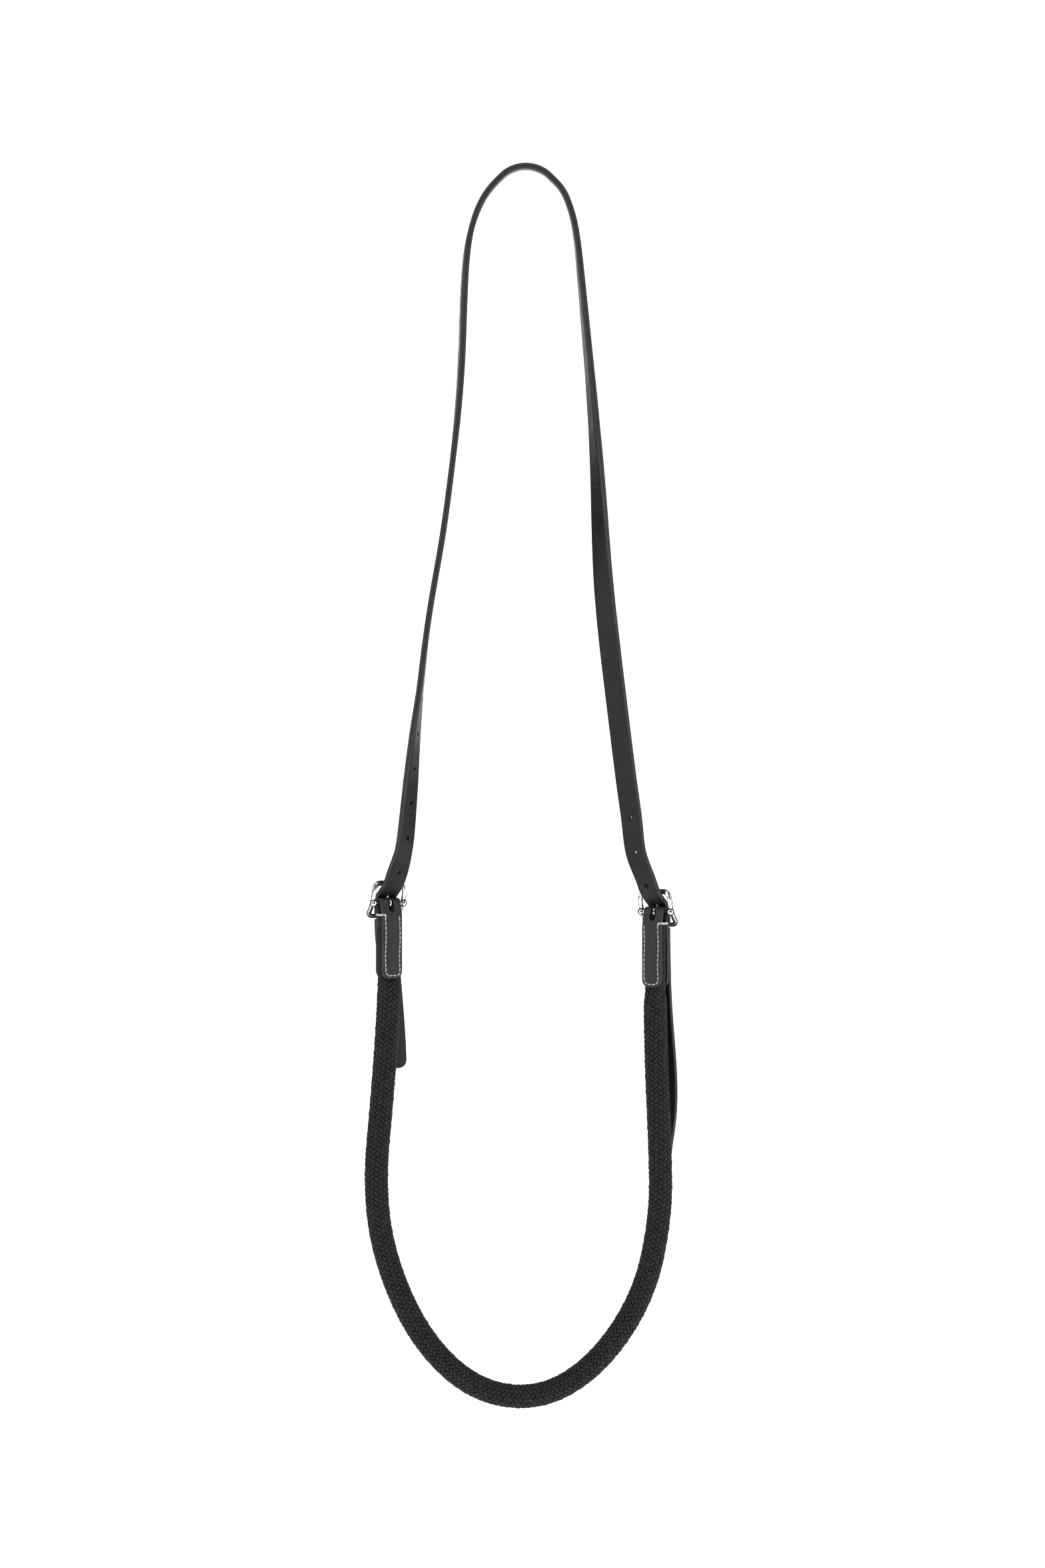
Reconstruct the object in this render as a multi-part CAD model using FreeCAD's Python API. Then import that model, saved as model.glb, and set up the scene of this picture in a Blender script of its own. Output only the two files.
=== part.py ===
"""A horse's neck rein: a leather strap buckled at both ends to a thick braided rope.
It hangs by the top of the strap. Millimetres, +Z up, +X to the right, +Y away from the side that shows
the backs of the buckles. The origin is the axis of the round bend at the top of the strap.
"""
import FreeCAD, Part
import math
import os

Vector = FreeCAD.Vector

# Strap
STRAP_WIDTH = 16.0
STRAP_THICKNESS = 4.5
STRAP_END_THICKNESS = 3.8
STRAP_BEVEL = 0.7
CROWN_MIDDLE_RADIUS = 25.3
CROWN_HALF_ANGLE = 48.0
HOLE_DIAMETER = 2.8
HOLE_PITCH = 25.4
TIP_RADIUS = 9.0
TIP_CORNER = 2.5

# Where the strap is cut so that its ends and tails can swing
CUT_GAP = 0.4
SWING_AXIS_Y = 0.9
SWING_AXIS_Z = -400.0
SWING_CUT_RADIUS = 12.0
TAIL_AXIS_Y = 7.0
TAIL_AXIS_Z = -16.0
TAIL_CUT_RADIUS = 2.6
LEAN_START_Z = 8.0

# Buckle, in its own frame: x along the centre bar, y away from the back, z up
BAR_RADIUS = 1.4
FRAME_INNER_WIDTH = 21.2
FRAME_BAR_WIDTH = 3.5
FRAME_THICKNESS = 2.9
FRAME_HALF_HEIGHT = 13.6
FRAME_BOW = 5.8
FRAME_SIDE_DEPTH = 1.8
FRAME_TILT = 27.0
FRAME_CORNER = 7.0
FRAME_ROUNDING = 1.2
BOSS_RADIUS = 2.8
BOSS_INSET = 0.2
BOSS_TAPER_LENGTH = 3.2
BOSS_TAPER_STEP = 0.25
TONGUE_WIRE = 2.3
TONGUE_TIP_Z = 17.2
TONGUE_TIP_Y = 2.0
TONGUE_SLOT_WIDTH = 3.1
TONGUE_SLOT_NEAR_Y = 0.2
TONGUE_SLOT_FAR_Y = 4.4
TONGUE_SLOT_LOW_Z = 1.2
TONGUE_SLOT_HIGH_Z = 10.5
TONGUE_CLEARANCE = 0.1

# Chape
CHAPE_WIDTH = 16.0
CHAPE_FOLD_INNER = 1.5
CHAPE_THICKNESS = 2.4
CHAPE_NEAR_FACE = -4.2
CHAPE_FAR_FACE = 3.2
CHAPE_LENGTH = 55.0
CHAPE_CORNER_RADIUS = 5.8
CHAPE_SLOT_WIDTH = 4.4
CHAPE_FOLD_THICKNESS = 2.45
CHAPE_SLOT_NEAR_BOTTOM = -6.5
CHAPE_SLOT_FAR_BOTTOM = -5.0
CHAPE_SLOT_FAR_Y = 2.0
# The legs' sides between the fold and where they lie flat against the rope, as y, z
CHAPE_NEAR_SHOULDER = 8.5
CHAPE_NEAR_SHOULDER_INNER = 9.0
CHAPE_FAR_WAIST_INNER = (1.65, -11.5)
CHAPE_FAR_WAIST_OUTER = (4.1, -11.0)
CHAPE_FAR_SHOULDER_INNER = 23.0
CHAPE_FAR_SHOULDER_OUTER = 22.5

# Stitching
THREAD = 0.8
STITCH_PITCH = 3.4
STITCH_LENGTH = 2.4
SEAM_INSET = 2.3
SEAM_TOP = -9.5
THREAD_SINK = 0.25
FAR_SEAM_TOP = -24.0
THREAD_BAR_LENGTH = 9.0
THREAD_BAR_START_Y = -5.6
THREAD_BAR_RISE = 1.2
THREAD_BAR_GAP = 0.1

# Rope
ROPE_DIAMETER = 17.0
CORE_DIAMETER = 9.0
CORE_GAP = 0.05
ROPE_END_TOP = -8.0
ROPE_END_WIDTH = 17.0
LEATHER_GAP = 0.05

UP = Vector(0, 0, 1)

# Each side's own numbers. The hole in use is drawn up the strap, so the first hole over it is nearer
# than the pitch. A leg station is x, y, z, turn: the strap's middle, and how far its inner face has
# turned towards -Y, in degrees. A tail station is x, y, z in the buckle's frame.
SIDES = {
    "left": {
        "sign": -1,
        "bar": Vector(-100.0, 6.3, -511.2),
        "yaw": 28.0,
        "legs": [
            (-27.0, 0.0, 8.0, 0.0),
            (-32.5, 0.0, -0.8, 0.0),
            (-36.9, 0.0, -11.0, -1.0),
            (-40.1, 0.0, -22.0, -2.0),
            (-42.5, 0.0, -35.0, -4.0),
            (-44.2, 0.0, -52.0, -5.5),
            (-45.3, 0.0, -75.0, -6.0),
            (-46.8, 0.0, -115.0, -6.0),
            (-50.3, 0.2, -162.0, -3.0),
            (-55.0, 0.5, -203.0, 0.0),
            (-60.8, 0.9, -245.0, 0.0),
            (-67.4, 1.3, -283.0, 0.0),
            (-72.9, 1.5, -319.0, 0.0),
            (-77.1, 1.5, -356.0, 4.0),
            (-80.9, 1.1, -390.0, 17.0),
            (-83.8, -1.0, -423.0, 29.0),
            (-86.6, -4.4, -455.0, 37.0),
            (-89.2, -4.6, -474.0, 44.0),
        ],
        "lean": 0.13,
        "tail": [(0.0, 6.6, -11.0), (0.5, 7.2, -16.5), (1.4, 8.2, -24.0), (3.4, 8.8, -36.0),
                 (6.4, 9.6, -55.0), (8.0, 10.2, -69.0), (9.4, 10.5, -83.0), (10.5, 10.6, -96.0),
                 (11.2, 10.5, -109.0), (11.6, 10.4, -121.0)],
        "holes_above": 6,
        "first_hole": 18.5,
        "holes_below": 3,
    },
    "right": {
        "sign": 1,
        "bar": Vector(94.7, 6.3, -517.5),
        "yaw": -31.0,
        "legs": [
            (26.6, 0.0, 8.2, 0.0),
            (31.4, 0.0, -2.0, 0.5),
            (34.9, 0.0, -14.0, 1.5),
            (37.3, 0.0, -28.0, 3.0),
            (39.4, 0.0, -47.0, 5.0),
            (41.3, 0.0, -67.0, 6.5),
            (43.4, 0.0, -90.0, 8.5),
            (46.6, 0.0, -125.0, 12.0),
            (49.8, 0.2, -164.0, 18.0),
            (52.4, 0.5, -203.0, 28.0),
            (54.4, 0.9, -242.0, 40.0),
            (56.9, 1.3, -281.0, 52.0),
            (60.7, 1.5, -319.0, 59.0),
            (65.2, 1.5, -357.0, 60.0),
            (70.1, 0.9, -397.0, 60.0),
            (74.6, -1.7, -432.0, 60.0),
            (77.6, -4.4, -455.0, 60.0),
            (80.6, -4.9, -476.0, 60.0),
        ],
        "lean": -0.13,
        "tail": [(0.0, 6.6, -11.0), (-0.4, 7.2, -16.5), (-0.8, 8.2, -24.0), (-0.9, 8.8, -36.0),
                 (-0.8, 9.6, -55.0), (0.2, 10.4, -78.0), (2.2, 10.8, -103.0), (3.4, 11.2, -127.0),
                 (2.3, 11.3, -152.0), (-1.0, 11.0, -174.0), (-3.0, 10.8, -194.5)],
        "holes_above": 3,
        "first_hole": 15.0,
        "holes_below": 6,
    },
}

# The strap's middle line through the buckle, as y, z in the buckle's frame: over the back of the top
# bar, round the front of the chape's fold, and down behind the lower bar.
THROUGH = [(-10.6, 22.9), (-7.8, 17.0), (-4.5, 12.2), (-0.2, 8.4), (4.3, 4.7), (5.8, 2.5), (6.4, 0.0),
           (6.45, -5.0)]
USED_HOLE = 3  # which of those points the tongue goes through

# The free rope's route, corner by corner, between its two sewn ends. Its lean brings the rope's weight
# under the axis that it swings about.
ROPE_ROUTE = [
    (-104.2, 0.6, -648.5),
    (-110.5, -5.6, -717.0),
    (-102.0, -10.8, -772.0),
    (-76.0, -14.9, -828.0),
    (-37.0, -17.5, -864.5),
    (10.0, -18.0, -871.0),
    (52.0, -16.7, -846.0),
    (86.0, -13.2, -796.0),
    (98.4, -8.5, -737.0),
    (97.6, -3.8, -686.0),
    (95.2, 0.8, -634.0),
]
ROPE_TUBE_TOP = -70.0
ROPE_TUBE_Y = -0.7


def placed(shape, side):
    """Move a shape from a buckle's frame to the object's."""
    turn = FreeCAD.Rotation(UP, side["yaw"])
    moved = shape.copy()
    moved.Placement = FreeCAD.Placement(side["bar"], turn).multiply(moved.Placement)
    return moved


def from_buckle(side, x, y, z):
    return side["bar"] + FreeCAD.Rotation(UP, side["yaw"]).multVec(Vector(x, y, z))


def prism_x(points, half_width):
    """A closed outline in the y, z plane, carried from -half_width to half_width along x."""
    corners = [Vector(-half_width, y, z) for y, z in points]
    face = Part.Face(Part.makePolygon(corners + corners[:1]))
    return face.extrude(Vector(2 * half_width, 0, 0))


def cylinder_x(radius, y, z, half_length):
    return Part.makeCylinder(radius, 2 * half_length, Vector(-half_length, y, z), Vector(1, 0, 0))


# ---------------------------------------------------------------- strap

def strap_stations(side):
    """The strap's middle line from crown to tip: a point and a width direction at each station."""
    sign = side["sign"]
    stations = []
    for x, y, z, turn in side["legs"]:
        angle = math.radians(turn)
        stations.append((Vector(x, y, z), Vector(math.sin(angle), -sign * math.cos(angle), 0)))
    along_bar = from_buckle(side, 1, 0, 0) - side["bar"]
    for y, z in THROUGH:
        shift = side["lean"] * max(z - LEAN_START_Z, 0.0)
        stations.append((from_buckle(side, shift, y, z), along_bar))
    for x, y, z in side["tail"]:
        stations.append((from_buckle(side, x, y, z), along_bar))
    return stations


def middle_line(side):
    """The middle line as one smooth edge that leaves the crown along its bend."""
    sign = side["sign"]
    angle = math.radians(CROWN_HALF_ANGLE)
    middle = CROWN_MIDDLE_RADIUS
    start = Vector(sign * middle * math.sin(angle), 0, middle * math.cos(angle))
    points = [start] + [point for point, _ in strap_stations(side)]
    curve = Part.BSplineCurve()
    curve.interpolate(Points=points, InitialTangent=Vector(sign * math.cos(angle), 0, -math.sin(angle)) * 10,
                      FinalTangent=(points[-1] - points[-2]))
    return curve, points


def strap_section(point, tangent, width, thickness):
    """A strap's cross-section with bevelled edges, square to its middle line."""
    along = tangent.normalize()
    across = (width - along * width.dot(along)).normalize()
    through = across.cross(along)
    half_w = STRAP_WIDTH / 2
    half_t = thickness / 2
    bevel = STRAP_BEVEL
    outline = [(half_w, half_t - bevel), (half_w - bevel, half_t), (bevel - half_w, half_t),
               (-half_w, half_t - bevel), (-half_w, bevel - half_t), (bevel - half_w, -half_t),
               (half_w - bevel, -half_t), (half_w, bevel - half_t)]
    corners = [point + across * a + through * b for a, b in outline]
    return Part.makePolygon(corners + corners[:1])


def strap_side(side):
    """One whole side of the strap, from the crown to past the tip, before it is cut."""
    curve, points = middle_line(side)
    widths = [Vector(0, -side["sign"], 0)] + [width for _, width in strap_stations(side)]
    thick = len(side["legs"]) - 1
    sections = []
    for number, (point, width) in enumerate(zip(points, widths)):
        tangent = curve.tangent(curve.parameter(point))[0]
        thickness = STRAP_THICKNESS if number < thick else STRAP_END_THICKNESS
        sections.append(strap_section(point, tangent, width, thickness))
    return Part.makeLoft(sections, True, False)


def crown():
    """The round bend that hangs on a peg or hand."""
    inner = CROWN_MIDDLE_RADIUS - STRAP_THICKNESS / 2
    outer = CROWN_MIDDLE_RADIUS + STRAP_THICKNESS / 2
    half_w = STRAP_WIDTH / 2
    bevel = STRAP_BEVEL
    outline = [(inner, bevel - half_w), (inner + bevel, -half_w), (outer - bevel, -half_w),
               (outer, bevel - half_w), (outer, half_w - bevel), (outer - bevel, half_w),
               (inner + bevel, half_w), (inner, half_w - bevel)]
    corners = [Vector(r, y, 0) for r, y in outline]
    face = Part.Face(Part.makePolygon(corners + corners[:1]))
    face.rotate(Vector(0, 0, 0), Vector(0, 1, 0), CROWN_HALF_ANGLE - 90)
    return face.revolve(Vector(0, 0, 0), Vector(0, 1, 0), -2 * CROWN_HALF_ANGLE)


def hole_cutters(side):
    """One punch through the strap's thickness at each unused hole."""
    curve, points = middle_line(side)
    widths = [Vector(0, -side["sign"], 0)] + [width for _, width in strap_stations(side)]
    used = curve.parameter(points[1 + len(side["legs"]) + USED_HOLE])
    used_at = curve.length(curve.FirstParameter, used)
    cutters = []
    for number in range(-side["holes_above"], side["holes_below"] + 1):
        if number == 0:
            continue
        drawn_up = HOLE_PITCH - side["first_hole"] if number < 0 else 0.0
        parameter = curve.parameterAtDistance(used_at + number * HOLE_PITCH + drawn_up, curve.FirstParameter)
        point = curve.value(parameter)
        tangent = curve.tangent(parameter)[0]
        nearest = min(range(len(points)), key=lambda i: points[i].distanceToPoint(point))
        across = widths[nearest]
        through = across.cross(tangent).normalize()
        depth = 3 * STRAP_THICKNESS
        cutters.append(Part.makeCylinder(HOLE_DIAMETER / 2, 2 * depth, point - through * depth, through))
    return cutters


def above_swing_cut(gap):
    """Everything over the round cut that the strap's ends swing about, less a gap."""
    block = Part.makeBox(400, 200, 600, Vector(-200, SWING_AXIS_Y - 100, SWING_AXIS_Z))
    lobe = cylinder_x(SWING_CUT_RADIUS + gap, SWING_AXIS_Y, SWING_AXIS_Z, 200)
    return block.fuse(lobe)


def above_tail_cut(side, gap):
    """The same for a tail, over its own round cut under the lower bar."""
    block = Part.makeBox(80, 60, 160, Vector(-40, TAIL_AXIS_Y - 30, TAIL_AXIS_Z))
    lobe = cylinder_x(TAIL_CUT_RADIUS + gap, TAIL_AXIS_Y, TAIL_AXIS_Z, 30)
    return placed(block.fuse(lobe), side)


def tip_cutter(side):
    """What is left outside a tail's rounded tip."""
    x, _, z = side["tail"][-1]
    half_w = STRAP_WIDTH / 2 + 3
    depth, front, height = 60, -20, TIP_RADIUS + 10
    below = Part.makeBox(2 * half_w, depth, height, Vector(x - half_w, front, z - 10))
    drop = math.sqrt(TIP_RADIUS ** 2 - (STRAP_WIDTH / 2 - TIP_CORNER / 2) ** 2)
    round_end = Part.makeCylinder(TIP_RADIUS, depth, Vector(x, front, z + TIP_RADIUS), Vector(0, 1, 0))
    keep = Part.makeBox(2 * half_w, depth, height, Vector(x - half_w, front, z + TIP_RADIUS - drop))
    return placed(below.cut(round_end).cut(keep), side)


def tongue_slot():
    """The hole in use, pulled long by the tongue that goes through it."""
    half = TONGUE_SLOT_WIDTH / 2
    low, high = TONGUE_SLOT_LOW_Z, TONGUE_SLOT_HIGH_Z
    middle = Part.makeBox(2 * half, TONGUE_SLOT_FAR_Y - TONGUE_SLOT_NEAR_Y - 2 * half, high - low,
                          Vector(-half, TONGUE_SLOT_NEAR_Y + half, low))
    near = Part.makeCylinder(half, high - low, Vector(0, TONGUE_SLOT_NEAR_Y + half, low), UP)
    far = Part.makeCylinder(half, high - low, Vector(0, TONGUE_SLOT_FAR_Y - half, low), UP)
    return middle.fuse([near, far])


def strap_parts():
    """The upper loop, and on each side the end that goes through the buckle and the tail."""
    loop = crown()
    parts = {}
    for name, side in SIDES.items():
        whole = strap_side(side)
        loop = loop.fuse(whole.common(above_swing_cut(0)))
        punched = whole.cut(hole_cutters(side) + [tip_cutter(side)])
        lower = punched.cut(above_swing_cut(CUT_GAP))
        end = lower.common(above_tail_cut(side, 0)).cut(placed(tongue_slot(), side))
        parts["strap_end_" + name] = end
        parts["strap_tail_" + name] = lower.cut(above_tail_cut(side, CUT_GAP))
    cutters = [cutter for side in SIDES.values() for cutter in hole_cutters(side)]
    parts["strap_loop"] = loop.cut(cutters).removeSplitter()
    return parts


# ---------------------------------------------------------------- buckle

def frame_ring():
    """The bowed, rounded frame, before the centre bar is added."""
    sagitta = FRAME_BOW - FRAME_SIDE_DEPTH
    bow_radius = (FRAME_HALF_HEIGHT ** 2 + sagitta ** 2) / (2 * sagitta)
    axis_y = FRAME_SIDE_DEPTH + bow_radius
    half_w = FRAME_INNER_WIDTH / 2 + FRAME_BAR_WIDTH
    half_h = FRAME_HALF_HEIGHT + FRAME_BAR_WIDTH / 2
    outer = rounded_plate(half_w, half_h, FRAME_CORNER)
    inner = rounded_plate(half_w - FRAME_BAR_WIDTH, half_h - FRAME_BAR_WIDTH, FRAME_CORNER - FRAME_BAR_WIDTH)
    shell = cylinder_x(bow_radius + FRAME_THICKNESS / 2, axis_y, 0, half_w + 2)
    shell = shell.cut(cylinder_x(bow_radius - FRAME_THICKNESS / 2, axis_y, 0, half_w + 3))
    ring = outer.cut(inner).common(shell).Solids[0]
    return ring.makeFillet(FRAME_ROUNDING, ring.Edges)


def rounded_plate(half_w, half_h, corner):
    """A block with four round corners, seen along y, thick enough to hold the bowed frame."""
    depth = 30.0
    block = Part.makeBox(2 * half_w, depth, 2 * half_h, Vector(-half_w, -10, -half_h))
    upright = [edge for edge in block.Edges if abs(edge.Length - depth) < 0.01 and
               abs(edge.tangentAt(edge.FirstParameter).y) > 0.99]
    return block.makeFillet(corner, upright)


def buckle_frame():
    """The frame, the centre bar and its two bosses, which are one casting."""
    ring = frame_ring()
    ring.rotate(Vector(0, 0, 0), Vector(1, 0, 0), FRAME_TILT)
    boss_x = FRAME_INNER_WIDTH / 2 + FRAME_BAR_WIDTH / 2
    bar = cylinder_x(BAR_RADIUS, 0, 0, boss_x)
    pieces = [bar]
    for sign in (-1, 1):
        pieces.append(Part.makeSphere(BOSS_RADIUS, Vector(sign * (boss_x - BOSS_INSET), BOSS_INSET, 0)))
        pieces.append(Part.makeCone(BOSS_RADIUS - BOSS_TAPER_STEP, BAR_RADIUS, BOSS_TAPER_LENGTH,
                                    Vector(sign * boss_x, 0, 0), Vector(-sign, 0, 0)))
    return ring.fuse(pieces).removeSplitter()


def buckle_tongue():
    """A wire bent round the centre bar, with its tip on the front of the top bar."""
    wire = TONGUE_WIRE / 2
    eye = BAR_RADIUS + TONGUE_CLEARANCE + wire
    loop = Part.makeTorus(eye, wire, Vector(0, 0, 0), Vector(1, 0, 0))
    foot = Vector(0, eye, 0)
    tip = Vector(0, TONGUE_TIP_Y, TONGUE_TIP_Z)
    shank = Part.makeCylinder(wire, (tip - foot).Length, foot, tip - foot)
    return loop.fuse([shank, Part.makeSphere(wire, tip)])


# ---------------------------------------------------------------- chape and stitching

def chape_near_leg():
    near_in, near_out = CHAPE_NEAR_FACE, CHAPE_NEAR_FACE - CHAPE_THICKNESS
    fold_in, fold_out = CHAPE_FOLD_INNER, CHAPE_FOLD_INNER + CHAPE_FOLD_THICKNESS
    bottom = -CHAPE_LENGTH
    outline = [(-fold_out, 0), (near_out, -CHAPE_NEAR_SHOULDER), (near_out, bottom), (near_in, bottom),
               (near_in, -CHAPE_NEAR_SHOULDER_INNER), (-fold_in, 0)]
    return prism_x(outline, CHAPE_WIDTH / 2)


def chape_far_leg():
    far_in, far_out = CHAPE_FAR_FACE, CHAPE_FAR_FACE + CHAPE_THICKNESS
    fold_in, fold_out = CHAPE_FOLD_INNER, CHAPE_FOLD_INNER + CHAPE_FOLD_THICKNESS
    bottom = -CHAPE_LENGTH
    outline = [(fold_in, 0), CHAPE_FAR_WAIST_INNER, (far_in, -CHAPE_FAR_SHOULDER_INNER), (far_in, bottom),
               (far_out, bottom), (far_out, -CHAPE_FAR_SHOULDER_OUTER), CHAPE_FAR_WAIST_OUTER, (fold_out, 0)]
    return prism_x(outline, CHAPE_WIDTH / 2)


def chape_slot():
    """The gap in the fold for the tongue's eye, deeper on the near leg."""
    left, top, front = -CHAPE_SLOT_WIDTH / 2, 8.0, -10.0
    near = Part.makeBox(CHAPE_SLOT_WIDTH, CHAPE_SLOT_FAR_Y - front, top - CHAPE_SLOT_NEAR_BOTTOM,
                        Vector(left, front, CHAPE_SLOT_NEAR_BOTTOM))
    far_corner = Vector(left, 0, CHAPE_SLOT_FAR_BOTTOM)
    far = Part.makeBox(CHAPE_SLOT_WIDTH, -front, top - CHAPE_SLOT_FAR_BOTTOM, far_corner)
    return near.fuse(far)


def chape():
    """A leather tab folded over the centre bar, with a slot for the tongue's eye."""
    half = CHAPE_WIDTH / 2
    above_bar = Part.makeBox(40, 20, 20, Vector(-20, -10, 0))
    fold = cylinder_x(CHAPE_FOLD_INNER + CHAPE_FOLD_THICKNESS, 0, 0, half).common(above_bar)
    leather = fold.fuse([chape_near_leg(), chape_far_leg()])
    leather = leather.cut([cylinder_x(CHAPE_FOLD_INNER, 0, 0, half + 1), chape_slot()])
    return leather.common(tab_outline()).removeSplitter()


def tab_outline():
    """The tab's plan, seen along y: straight sides and two round corners at the bottom."""
    half, depth, above_bar = CHAPE_WIDTH / 2, 40, 10
    body = Part.makeBox(2 * half, depth, CHAPE_LENGTH + above_bar, Vector(-half, -depth / 2, -CHAPE_LENGTH))
    corners = [edge for edge in body.Edges if abs(edge.Length - depth) < 0.01 and edge.CenterOfMass.z < 0]
    return body.makeFillet(CHAPE_CORNER_RADIUS, corners)


def seam_points():
    """Where each stitch lies, seen along y, down one edge, round and up the other: x, z and heading."""
    half = CHAPE_WIDTH / 2 - SEAM_INSET
    radius = CHAPE_CORNER_RADIUS - SEAM_INSET
    low = CHAPE_CORNER_RADIUS - CHAPE_LENGTH
    straight = SEAM_TOP - low
    quarter = math.pi / 2 * radius
    bottom = 2 * (half - radius)
    total = 2 * (straight + quarter) + bottom
    count = round(total / STITCH_PITCH)
    points = []
    for number in range(count):
        run = (number + 0.5) * total / count
        mirrored = run > total / 2
        if mirrored:
            run = total - run
        if run < straight:
            x, z, heading = -half, SEAM_TOP - run, -90.0
        elif run < straight + quarter:
            angle = (run - straight) / radius
            x, z = radius * (1 - math.cos(angle)) - half, low - radius * math.sin(angle)
            heading = math.degrees(angle) - 90
        else:
            x, z, heading = run - straight - quarter + radius - half, low - radius, 0.0
        points.append((-x, z, -heading) if mirrored else (x, z, heading))
    return points


def stitching(outer_sign):
    """The stitches that show on both faces of the chape, and the thread bar across the rope's outer side."""
    radius = THREAD / 2
    near = CHAPE_NEAR_FACE - CHAPE_THICKNESS - radius + THREAD_SINK
    far = CHAPE_FAR_FACE + CHAPE_THICKNESS + radius - THREAD_SINK
    stitches = []
    for x, z, heading in seam_points():
        direction = Vector(math.cos(math.radians(heading)), 0, math.sin(math.radians(heading)))
        start = Vector(x, 0, z) - direction * (STITCH_LENGTH / 2)
        stitches.append(Part.makeCylinder(radius, STITCH_LENGTH, start + Vector(0, near, 0), direction))
        if z < FAR_SEAM_TOP:
            stitches.append(Part.makeCylinder(radius, STITCH_LENGTH, start + Vector(0, far, 0), direction))
    edge = outer_sign * (CHAPE_WIDTH / 2 + radius + THREAD_BAR_GAP)
    bar_start = Vector(edge, THREAD_BAR_START_Y, SEAM_TOP + THREAD_BAR_RISE)
    bar = Part.makeCylinder(radius, THREAD_BAR_LENGTH, bar_start,
                            Vector(0, 1, 0))
    return Part.makeCompound(stitches + [bar])


# ---------------------------------------------------------------- rope

def rope_end_section(side, z, half_w, half_t, y, power):
    """A closed smooth outline: squashed where it is sewn in, round where it is free."""
    count = 24
    points = []
    for number in range(count):
        angle = 2 * math.pi * number / count
        cos, sin = math.cos(angle), math.sin(angle)
        x = half_w * math.copysign(abs(cos) ** (2 / power), cos)
        offset = half_t * math.copysign(abs(sin) ** (2 / power), sin)
        points.append(from_buckle(side, x, y + offset, z))
    curve = Part.BSplineCurve()
    curve.interpolate(Points=points, PeriodicFlag=True)
    return Part.Wire(curve.toShape())


def rope_end(side):
    """The rope's end between the chape's two legs, opening out to its full round below them."""
    near, far = CHAPE_NEAR_FACE + LEATHER_GAP, CHAPE_FAR_FACE - LEATHER_GAP
    flat_y = (near + far) / 2
    flat_t = (far - near) / 2
    half_w = ROPE_END_WIDTH / 2
    round_r = ROPE_DIAMETER / 2
    # z, half width, half thickness, y, squareness
    sewn = [(ROPE_END_TOP, half_w - 0.6, 2.6, -1.15, 2.6), (-14.0, half_w - 0.2, 2.95, -1.15, 2.6),
            (-24.0, half_w, flat_t, flat_y, 2.6), (-38.0, half_w, flat_t, flat_y, 2.6),
            (-55.5, half_w, flat_t, flat_y, 2.6)]
    round_end = (ROPE_TUBE_TOP, round_r, round_r, ROPE_TUBE_Y, 2.0)
    opening = sewn[-1:] + [(-63.0, half_w, 6.6, -0.6, 2.2), round_end]
    lofts = [Part.makeLoft([rope_end_section(side, *stage) for stage in stages], True, True)
             for stages in (sewn, opening)]
    return lofts[0].fuse(lofts[1]).removeSplitter()


def rope_path():
    """Straight runs joined by arcs as large as the runs allow, between the two ends of the tube."""
    left, right = SIDES["left"], SIDES["right"]
    corners = [from_buckle(left, 0, ROPE_TUBE_Y, ROPE_TUBE_TOP)]
    corners += [Vector(*corner) for corner in ROPE_ROUTE]
    corners.append(from_buckle(right, 0, ROPE_TUBE_Y, ROPE_TUBE_TOP))
    edges, radii, at = [], [], corners[0]
    for before, corner, after in zip(corners, corners[1:], corners[2:]):
        inward, outward = before - corner, after - corner
        turn = math.pi - inward.getAngle(outward)
        reach = 0.45 * min(inward.Length, outward.Length)
        radius = reach / math.tan(turn / 2)
        inward.normalize()
        outward.normalize()
        start, end = corner + inward * reach, corner + outward * reach
        to_middle = (inward + outward).normalize()
        middle = corner + to_middle * (radius / math.cos(turn / 2) - radius)
        edges.append(Part.LineSegment(at, start).toShape())
        edges.append(Part.Arc(start, middle, end).toShape())
        radii.append(round(radius, 1))
        at = end
    edges.append(Part.LineSegment(at, corners[-1]).toShape())
    print("rope radii", radii)
    return Part.Wire(edges)


def rope_tube(path, outer, inner):
    """A round tube along the path, or a solid one where inner is 0."""
    start = path.Edges[0].valueAt(path.Edges[0].FirstParameter)
    along = path.Edges[0].tangentAt(path.Edges[0].FirstParameter)
    solids = []
    for diameter in (outer, inner):
        if diameter:
            ring = Part.Wire(Part.makeCircle(diameter / 2, start, along))
            solids.append(path.makePipeShell([ring], True, False))
    if inner:
        return solids[0].cut(solids[1])
    return solids[0]


def report_volume(name, shape, section, length):
    print(name, "volume", round(shape.Volume), "section x length", round(section * length))


def rope_parts():
    path = rope_path()
    cover = rope_tube(path, ROPE_DIAMETER, CORE_DIAMETER)
    core_diameter = CORE_DIAMETER - 2 * CORE_GAP
    core = rope_tube(path, core_diameter, 0)
    area = math.pi / 4 * (ROPE_DIAMETER ** 2 - CORE_DIAMETER ** 2)
    report_volume("rope_cover", cover, area, path.Length)
    report_volume("rope_core", core, math.pi / 4 * core_diameter ** 2, path.Length)
    print("rope tube length", round(path.Length, 1))
    return {"rope_cover": cover, "rope_core": core}


def main():
    os.makedirs("parts", exist_ok=True)
    nodes = strap_parts()
    nodes.update(rope_parts())
    for name, side in SIDES.items():
        nodes["buckle_frame_" + name] = placed(buckle_frame(), side)
        nodes["buckle_tongue_" + name] = placed(buckle_tongue(), side)
        nodes["chape_" + name] = placed(chape(), side)
        nodes["chape_stitching_" + name] = placed(stitching(side["sign"]), side)
        nodes["rope_end_" + name] = rope_end(side)
    for name, shape in nodes.items():
        print(name, "solids", len(shape.Solids), "valid", shape.isValid(), "volume", round(shape.Volume, 1))
        shape.exportStep("parts/" + name + ".step")


main()
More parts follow.
